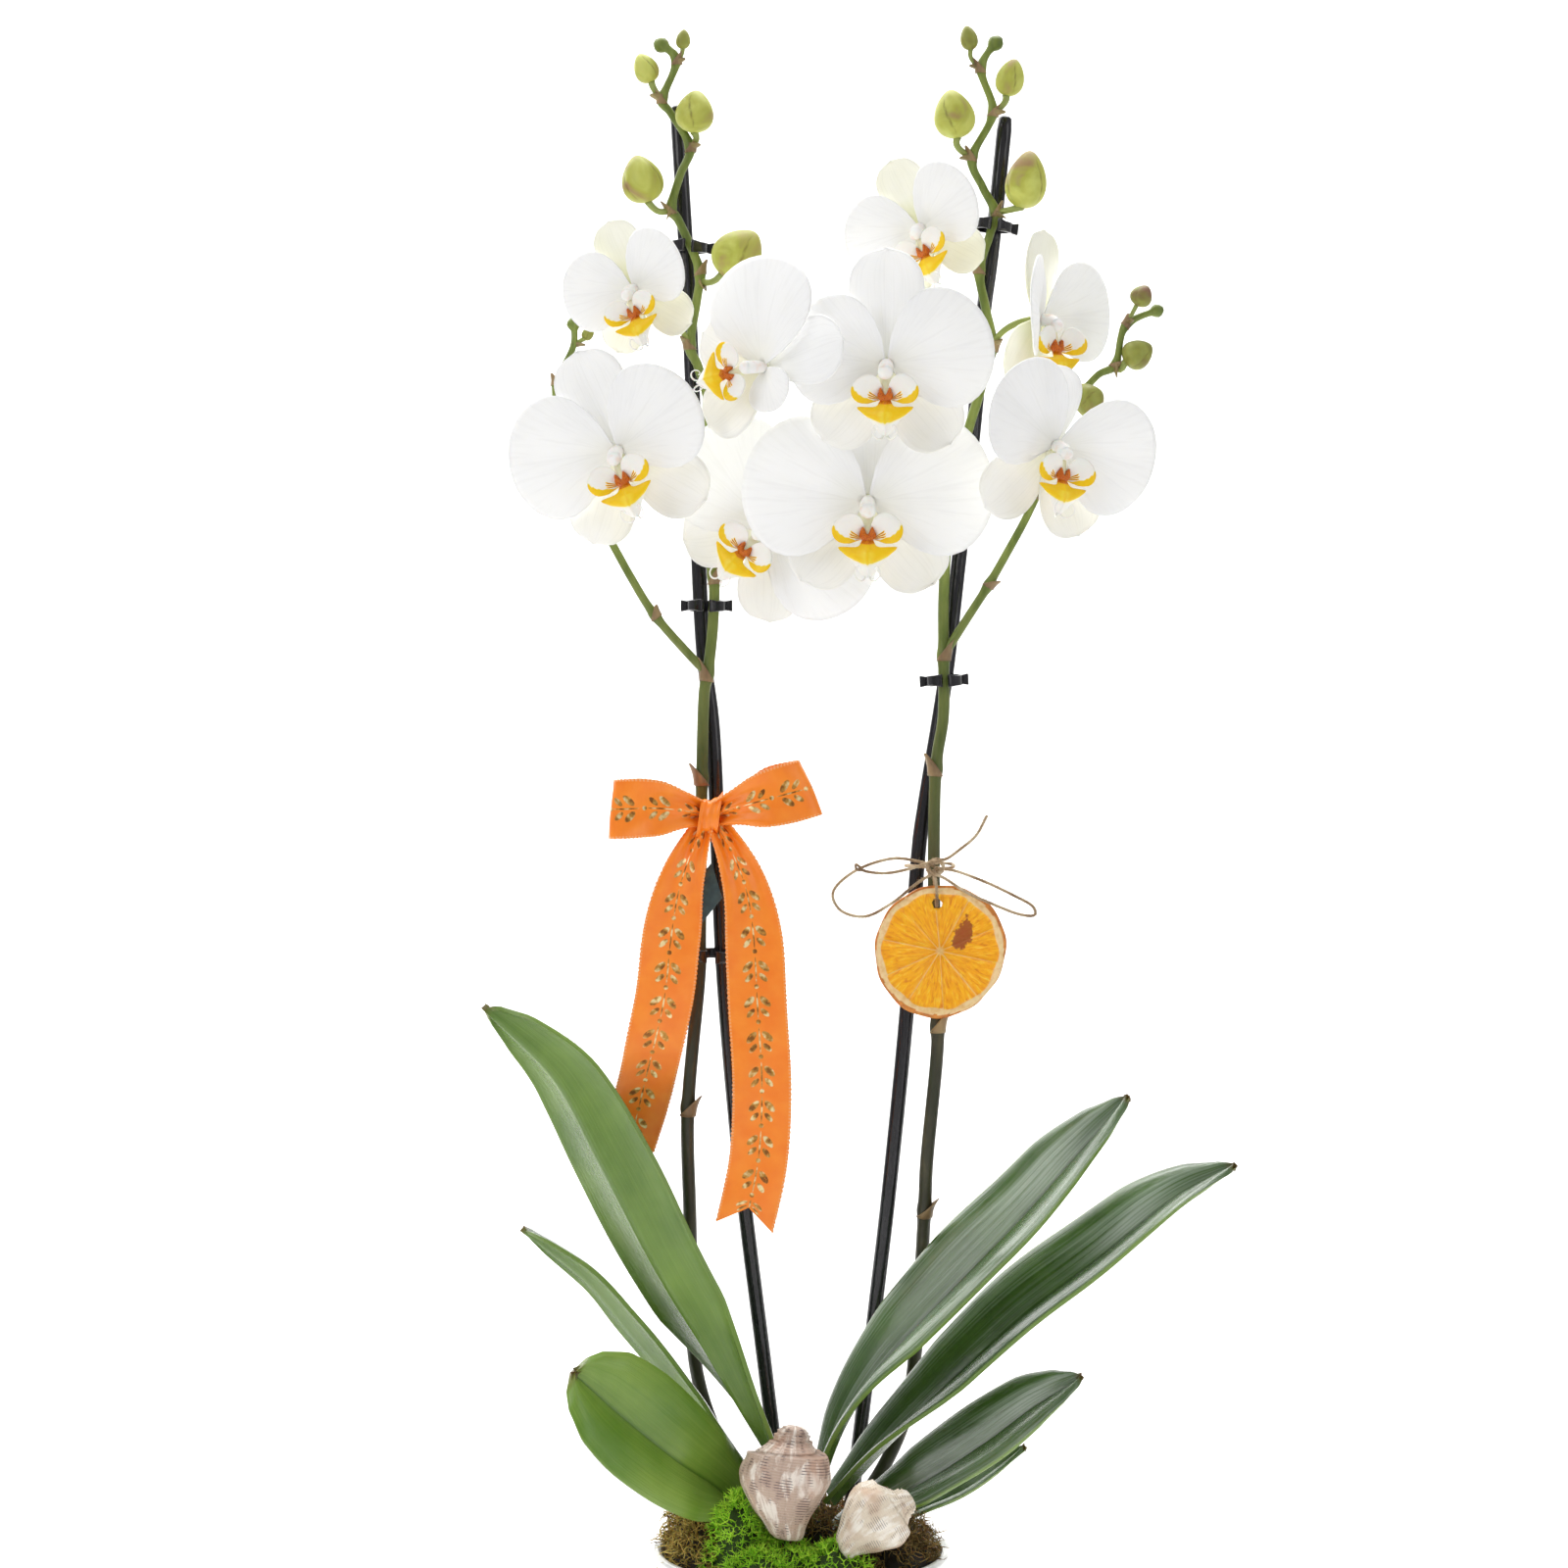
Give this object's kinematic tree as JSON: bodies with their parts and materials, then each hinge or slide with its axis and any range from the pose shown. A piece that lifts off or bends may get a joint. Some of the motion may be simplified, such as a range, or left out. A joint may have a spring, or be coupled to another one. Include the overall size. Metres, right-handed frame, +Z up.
{
  "type": "potted orchid",
  "caption": "White moth orchid with two staked flower spikes in a plain ceramic pot, dressed with satin ribbon, moss, shells and a dried orange slice.",
  "frame": {"origin": "centre of the pot's flat underside", "axes": "+Z up along the plant, -Y the side that faces the viewer, +X to the viewer's right"},
  "size_m": [0.3272, 0.1537, 0.7704],
  "materials": {
    "pot_glaze": "glossy white glaze",
    "bark": "rough chips",
    "moss_bright": "dyed branching moss",
    "moss_olive": "dry olive moss",
    "moss_dark": "dry dark moss",
    "shell_grey": "worn banded shell",
    "shell_cream": "worn cream shell",
    "satin_orange": "satin",
    "card_teal": "coated card",
    "jute": "hairy twisted twine",
    "dried_orange": "dried slice",
    "leaf_light": "satin",
    "leaf_dark": "glossy",
    "petal_white": "soft satin petal",
    "lip_yellow": "waxy",
    "bud_skin": "waxy",
    "spike_skin": "satin",
    "stake_black": "satin black"
  },
  "bodies": {
    "root": {"bud_1": "bud_skin", "bud_10": "bud_skin", "bud_11": "bud_skin", "bud_12": "bud_skin", "bud_13": "bud_skin", "bud_2": "bud_skin", "bud_3": "bud_skin", "bud_4": "bud_skin", "bud_5": "bud_skin", "bud_6": "bud_skin", "bud_7": "bud_skin", "bud_8": "bud_skin", "bud_9": "bud_skin", "care_card": "card_teal", "ceramic_pot": "pot_glaze", "clip_1": "stake_black", "clip_2": "stake_black", "clip_3": "stake_black", "clip_4": "stake_black", "clip_5": "stake_black", "flower_1": "petal_white", "flower_1_lip": "lip_yellow", "flower_2": "petal_white", "flower_2_lip": "lip_yellow", "flower_3": "petal_white", "flower_3_lip": "lip_yellow", "flower_4": "petal_white", "flower_4_lip": "lip_yellow", "flower_5": "petal_white", "flower_5_lip": "lip_yellow", "flower_6": "petal_white", "flower_6_lip": "lip_yellow", "flower_7": "petal_white", "flower_7_lip": "lip_yellow", "flower_8": "petal_white", "flower_8_lip": "lip_yellow", "flower_9": "petal_white", "flower_9_lip": "lip_yellow", "jute_twine": "jute", "leaf_1": "leaf_light", "leaf_2": "leaf_light", "leaf_3": "leaf_light", "leaf_4": "leaf_dark", "leaf_5": "leaf_dark", "leaf_6": "leaf_dark", "leaf_7": "leaf_dark", "moss_back": "moss_dark", "moss_brown_left": "moss_olive", "moss_brown_right": "moss_dark", "moss_green": "moss_bright", "orange_slice": "dried_orange", "plant_crown": "leaf_light", "potting_bark": "bark", "ribbon": "satin_orange", "shell_large": "shell_grey", "shell_small": "shell_cream", "spike_left": "spike_skin", "spike_right": "spike_skin", "stake_left": "stake_black", "stake_right": "stake_black"}
  },
  "joints": []
}
